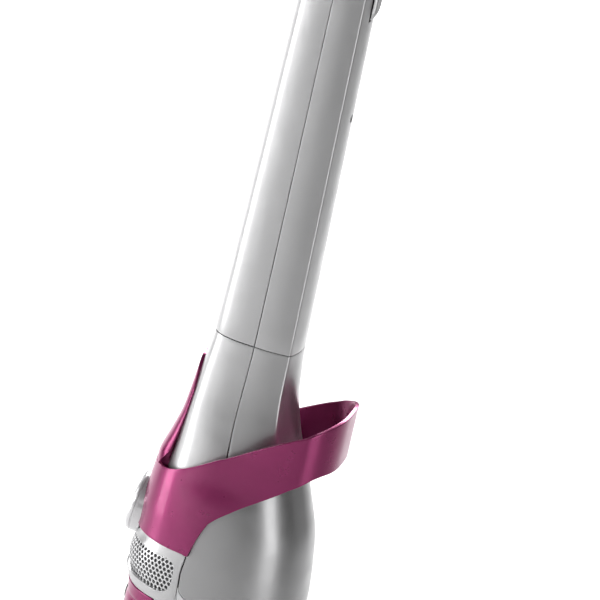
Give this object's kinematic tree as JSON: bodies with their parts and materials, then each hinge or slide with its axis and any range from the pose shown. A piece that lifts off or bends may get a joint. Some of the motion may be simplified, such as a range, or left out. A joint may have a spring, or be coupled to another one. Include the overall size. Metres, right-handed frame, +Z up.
{
  "type": "cordless stick vacuum",
  "caption": "Upright cordless stick vacuum: floor head on a tilting swivel, rounded body with vent, dust bin and round indicator, carry ring round the neck, flat tube and bent handle.",
  "frame": {"origin": "on the floor under the middle of the object, front to back and side to side", "axes": "+Z up along the tube, -Y towards the front of the floor head, +X to the left side of a user who stands behind at +Y and looks towards -Y"},
  "size_m": [0.2506, 0.1922, 1.1396],
  "materials": {
    "magenta_paint": "metallic gloss, moulded in colour under clear lacquer",
    "silver_paint": "satin metallic lacquer",
    "pale_silver": "light satin silver",
    "steel": "bright steel",
    "black_plastic": "fine spark texture",
    "rubber": "matt rubber",
    "chrome_trim": "bright plated plastic",
    "clear_plastic": "clear polished",
    "smoked_clear": "clear smoked",
    "motor_metal": "plain metal can",
    "board_green": "solder mask",
    "contact_brass": "plated",
    "grey_plastic": "semi-matt",
    "filter_fabric": "pleated paper",
    "bristle_nylon": "nylon bristle"
  },
  "bodies": {
    "head": {"head_base": "black_plastic", "head_cover": "magenta_paint", "sole_plate": "black_plastic", "bumper": "rubber", "brush_bearings": "steel", "brush_motor": "motor_metal", "drive_belt": "rubber", "axle_pins": "steel"},
    "brush": {"brush_core": "grey_plastic", "brush_tufts": "bristle_nylon"},
    "brush_drive": {"motor_pulley": "steel"},
    "wheel_l": {"wheel_left": "grey_plastic"},
    "wheel_r": {"wheel_right": "grey_plastic"},
    "roller_l": {"roller_left": "grey_plastic"},
    "roller_r": {"roller_right": "grey_plastic"},
    "yoke": {"tilt_yoke": "black_plastic"},
    "upright": {"swivel_hub": "black_plastic", "air_duct": "black_plastic", "lower_shell": "pale_silver", "rear_shell": "silver_paint", "vent_frame": "pale_silver", "vent_mesh": "pale_silver", "carry_ring": "magenta_paint", "front_spine": "magenta_paint", "neck_front": "silver_paint", "neck_rear": "silver_paint", "tube_front": "silver_paint", "tube_rear": "silver_paint", "tube_core": "black_plastic", "seam_sleeve": "black_plastic", "tube_screw": "steel", "handle_front": "silver_paint", "handle_rear": "black_plastic", "soft_grip": "rubber", "handle_cap": "magenta_paint", "switch_board": "board_green", "lens_ring": "chrome_trim", "lens_glass": "clear_plastic", "lens_board": "black_plastic", "suction_motor": "motor_metal", "fan_housing": "black_plastic", "motor_mount": "rubber", "main_board": "board_green", "battery_case": "black_plastic", "battery_cells": "motor_metal", "battery_contacts": "contact_brass", "charge_socket": "black_plastic", "release_spring": "steel"},
    "fan": {"fan_wheel": "black_plastic"},
    "bin": {"bin_cover": "magenta_paint", "dust_bin": "smoked_clear", "bin_lid": "black_plastic", "cyclone_cone": "grey_plastic", "filter_pleats": "filter_fabric", "bin_seal": "rubber"},
    "bin_catch": {"bin_button": "black_plastic"},
    "release": {"release_slide": "silver_paint", "latch_bar": "steel"},
    "power": {"power_slider": "black_plastic"},
    "boost": {"boost_button": "magenta_paint"}
  },
  "joints": [
    {"name": "body_tilt", "type": "hinge", "parent": "head", "child": "yoke", "pos_m": [0, 0.02205, 0.058], "axis": [-1, 0, 0], "range_deg": [0, 70]},
    {"name": "body_swivel", "type": "hinge", "parent": "yoke", "child": "upright", "pos_m": [0, 0.00905, 0.15], "axis": [0, 0, 1], "range_deg": [-45, 45]},
    {"name": "brush_spin", "type": "hinge", "parent": "head", "child": "brush", "pos_m": [0, -0.06195, 0.024], "axis": [1, 0, 0], "continuous": true},
    {"name": "brush_drive_spin", "type": "hinge", "parent": "head", "child": "brush_drive", "pos_m": [0.08, -0.00395, 0.03], "axis": [1, 0, 0], "continuous": true},
    {"name": "wheel_left_spin", "type": "hinge", "parent": "head", "child": "wheel_l", "pos_m": [0.088, 0.05805, 0.022], "axis": [1, 0, 0], "continuous": true},
    {"name": "wheel_right_spin", "type": "hinge", "parent": "head", "child": "wheel_r", "pos_m": [-0.088, 0.05805, 0.022], "axis": [1, 0, 0], "continuous": true},
    {"name": "roller_left_spin", "type": "hinge", "parent": "head", "child": "roller_l", "pos_m": [0.06, -0.02395, 0.009], "axis": [1, 0, 0], "continuous": true},
    {"name": "roller_right_spin", "type": "hinge", "parent": "head", "child": "roller_r", "pos_m": [-0.06, -0.02395, 0.009], "axis": [1, 0, 0], "continuous": true},
    {"name": "fan_spin", "type": "hinge", "parent": "upright", "child": "fan", "pos_m": [0, 0.00905, 0.35], "axis": [0, 0, 1], "continuous": true},
    {"name": "bin_pull", "type": "slide", "parent": "upright", "child": "bin", "axis": [0, -1, 0], "range_m": [0, 0.12]},
    {"name": "bin_catch_press", "type": "slide", "parent": "bin", "child": "bin_catch", "axis": [0, 1, 0], "range_m": [0, 0.002], "stiffness_N_per_m": 600, "springref_m": -0.001},
    {"name": "release_slide_move", "type": "slide", "parent": "upright", "child": "release", "axis": [0, 0, 1], "range_m": [0, 0.005], "stiffness_N_per_m": 600, "springref_m": -0.002, "deforming": ["release_spring"]},
    {"name": "power_slide", "type": "slide", "parent": "upright", "child": "power", "axis": [0, -0.2079, 0.9781], "range_m": [-0.002, 0.002]},
    {"name": "boost_press", "type": "slide", "parent": "upright", "child": "boost", "axis": [0, 0.9205, -0.3907], "range_m": [0, 0.0015], "stiffness_N_per_m": 600, "springref_m": -0.001}
  ],
  "couplings": [
    {"joint": "brush_drive_spin", "follows": "brush_spin", "ratio": 2.1429}
  ]
}
